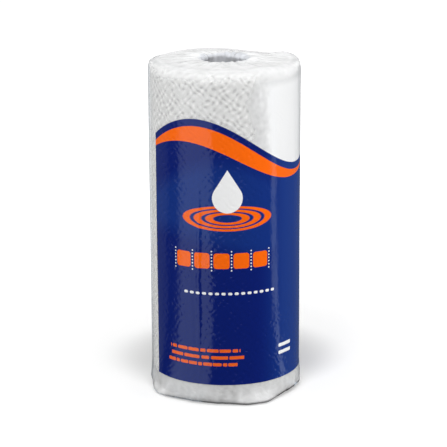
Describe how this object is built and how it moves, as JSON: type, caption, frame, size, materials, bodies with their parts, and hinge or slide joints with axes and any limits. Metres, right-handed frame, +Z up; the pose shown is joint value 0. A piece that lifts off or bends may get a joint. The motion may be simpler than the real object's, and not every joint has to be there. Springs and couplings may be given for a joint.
{
  "type": "paper towel roll",
  "caption": "Paper towel roll in a printed film wrap, pleated over both ends and tucked into the hollow cardboard core; stands on end or slides onto a holder's rod.",
  "frame": {"origin": "on the floor under the roll's axis", "axes": "+Z up along the core, front of the wrap towards -Y"},
  "size_m": [0.126, 0.1263, 0.2849],
  "materials": {
    "core_board": "plain brown board, matt",
    "towel_paper": "white embossed tissue, soft and matt",
    "printed_film": "thin glossy film, printed dark blue over a clear ground"
  },
  "bodies": {
    "root": {"core_tube": "core_board", "towel_roll": "towel_paper", "film_wrap": "printed_film"}
  },
  "joints": []
}
